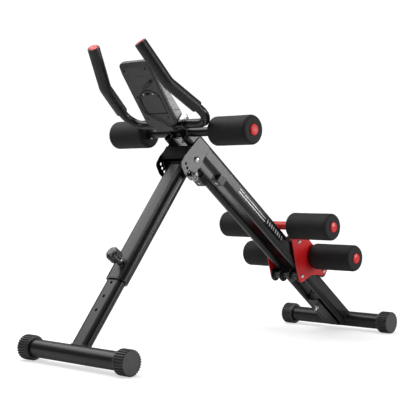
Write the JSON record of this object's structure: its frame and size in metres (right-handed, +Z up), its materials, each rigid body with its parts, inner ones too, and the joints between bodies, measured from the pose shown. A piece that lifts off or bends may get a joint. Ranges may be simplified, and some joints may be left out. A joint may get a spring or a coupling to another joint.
{
  "type": "abdominal crunch machine",
  "caption": "Folding abdominal crunch machine: a knee carriage with foam rollers runs on wheels up two sloping rails, with a folding telescopic leg, handlebar, elbow rollers and a rep counter.",
  "frame": {"origin": "centre of the bounding box at floor level, midway between the two feet along X", "axes": "+Z up, +X along the machine from the front foot towards the rear foot, +Y towards the side away from the hinge pin's pull ring"},
  "size_m": [1.1656, 0.5394, 0.8414],
  "materials": {
    "black_paint": "gloss black powder coat",
    "red_paint": "gloss red powder coat",
    "red_plastic": "moulded red plastic",
    "black_foam": "closed-cell rubber foam, matt",
    "black_rubber": "moulded rubber",
    "cable_skin": "soft vinyl",
    "black_plastic": "moulded",
    "grey_plastic": "moulded, fine texture",
    "steel": "bright zinc or chrome plated",
    "screen": "clear window over a grey-green display",
    "board": "circuit board"
  },
  "bodies": {
    "frame": {"rail_near": "black_paint", "rail_far": "black_paint", "hinge_plate_near": "black_paint", "hinge_plate_far": "black_paint", "top_roller_tube": "black_paint", "top_cap_near": "red_plastic", "top_cap_far": "red_plastic", "handlebar": "black_paint", "grip_near": "black_foam", "grip_far": "black_foam", "grip_cap_near": "red_plastic", "grip_cap_far": "red_plastic", "handlebar_bracket": "black_paint", "console_back": "grey_plastic", "console_front": "black_plastic", "console_screen": "screen", "circuit_board": "board", "sensor_cable": "cable_skin", "cable_plug": "cable_skin", "cable_tie": "black_plastic", "upper_stop_near": "black_rubber", "upper_stop_far": "black_rubber", "stop_wall": "black_paint", "rear_foot_tube": "black_paint", "foot_tongue": "black_paint", "rear_cap_near": "black_rubber", "rear_cap_far": "black_rubber", "foot_bolt": "steel"},
    "battery_cover": {"battery_door": "grey_plastic"},
    "button": {"mode_button": "red_plastic"},
    "top_foam_roller_near": {"top_foam_near": "black_foam"},
    "top_foam_roller_far": {"top_foam_far": "black_foam"},
    "leg": {"leg_sleeve": "black_paint", "hinge_bracket": "black_paint", "sleeve_bush": "black_plastic", "pin_housing": "steel", "pivot_bolt": "steel"},
    "lower_leg": {"leg_tube": "black_paint", "front_foot_tube": "black_paint", "front_cap_near": "black_rubber", "front_cap_far": "black_rubber"},
    "height_pin": {"pull_pin": "steel", "pin_knob": "black_plastic", "pin_spring": "steel"},
    "hinge_pin": {"lock_pin": "steel", "lock_ring": "steel"},
    "carriage": {"carriage_plate_near": "red_paint", "carriage_plate_far": "red_paint", "upper_roller_tube": "red_paint", "lower_roller_tube": "red_paint", "axle_upper": "steel", "axle_rear": "steel", "axle_lower": "steel"},
    "upper_foam_roller_near": {"upper_foam_near": "black_foam"},
    "upper_foam_roller_far": {"upper_foam_far": "black_foam"},
    "lower_foam_roller_near": {"lower_foam_near": "black_foam"},
    "lower_foam_roller_far": {"lower_foam_far": "black_foam"},
    "wheels_upper": {"spool_upper": "black_plastic"},
    "wheels_rear": {"spool_rear": "black_plastic"},
    "wheels_lower": {"spool_lower": "black_plastic"}
  },
  "joints": [
    {"name": "leg_fold", "type": "hinge", "parent": "frame", "child": "leg", "pos_m": [-0.1606, 0, 0.53521], "axis": [0, -1, 0], "range_deg": [0, 75]},
    {"name": "leg_length", "type": "slide", "parent": "leg", "child": "lower_leg", "axis": [0.6124, 0, 0.7905], "range_m": [0, 0.1481]},
    {"name": "height_pin_pull", "type": "slide", "parent": "leg", "child": "height_pin", "axis": [-0.7905, 0, 0.6124], "range_m": [0, 0.01], "stiffness_N_per_m": 900, "springref_m": -0.004, "deforming": ["pin_spring"]},
    {"name": "hinge_pin_pull", "type": "slide", "parent": "frame", "child": "hinge_pin", "axis": [0, -1, 0], "range_m": [0, 0.014]},
    {"name": "carriage_travel", "type": "slide", "parent": "frame", "child": "carriage", "axis": [-0.7859, 0, 0.6184], "range_m": [0, 0.424]},
    {"name": "battery_cover_off", "type": "slide", "parent": "frame", "child": "battery_cover", "axis": [-0.8161, 0, -0.5779], "range_m": [0, 0.012]},
    {"name": "mode_press", "type": "slide", "parent": "frame", "child": "button", "axis": [-0.7494, 0, -0.6622], "range_m": [0, 0.0015], "stiffness_N_per_m": 400, "springref_m": -0.0005},
    {"name": "top_foam_spin_near", "type": "hinge", "parent": "frame", "child": "top_foam_roller_near", "pos_m": [-0.16811, 0, 0.60959], "axis": [0, 1, 0], "continuous": true},
    {"name": "top_foam_spin_far", "type": "hinge", "parent": "frame", "child": "top_foam_roller_far", "pos_m": [-0.16811, 0, 0.60959], "axis": [0, 1, 0], "continuous": true},
    {"name": "upper_foam_spin_near", "type": "hinge", "parent": "carriage", "child": "upper_foam_roller_near", "pos_m": [0.24648, 0, 0.34085], "axis": [0, 1, 0], "continuous": true},
    {"name": "upper_foam_spin_far", "type": "hinge", "parent": "carriage", "child": "upper_foam_roller_far", "pos_m": [0.24648, 0, 0.34085], "axis": [0, 1, 0], "continuous": true},
    {"name": "lower_foam_spin_near", "type": "hinge", "parent": "carriage", "child": "lower_foam_roller_near", "pos_m": [0.35793, 0, 0.24412], "axis": [0, 1, 0], "continuous": true},
    {"name": "lower_foam_spin_far", "type": "hinge", "parent": "carriage", "child": "lower_foam_roller_far", "pos_m": [0.35793, 0, 0.24412], "axis": [0, 1, 0], "continuous": true},
    {"name": "wheel_spin_upper", "type": "hinge", "parent": "carriage", "child": "wheels_upper", "pos_m": [0.28155, 0, 0.29098], "axis": [0, 1, 0], "continuous": true},
    {"name": "wheel_spin_rear", "type": "hinge", "parent": "carriage", "child": "wheels_rear", "pos_m": [0.40281, 0, 0.19556], "axis": [0, 1, 0], "continuous": true},
    {"name": "wheel_spin_lower", "type": "hinge", "parent": "carriage", "child": "wheels_lower", "pos_m": [0.29576, 0, 0.18615], "axis": [0, 1, 0], "continuous": true}
  ],
  "couplings": [
    {"joint": "wheel_spin_upper", "follows": "carriage_travel", "rad_per_m": -87.719},
    {"joint": "wheel_spin_rear", "follows": "carriage_travel", "rad_per_m": -87.719},
    {"joint": "wheel_spin_lower", "follows": "carriage_travel", "rad_per_m": 87.719}
  ]
}
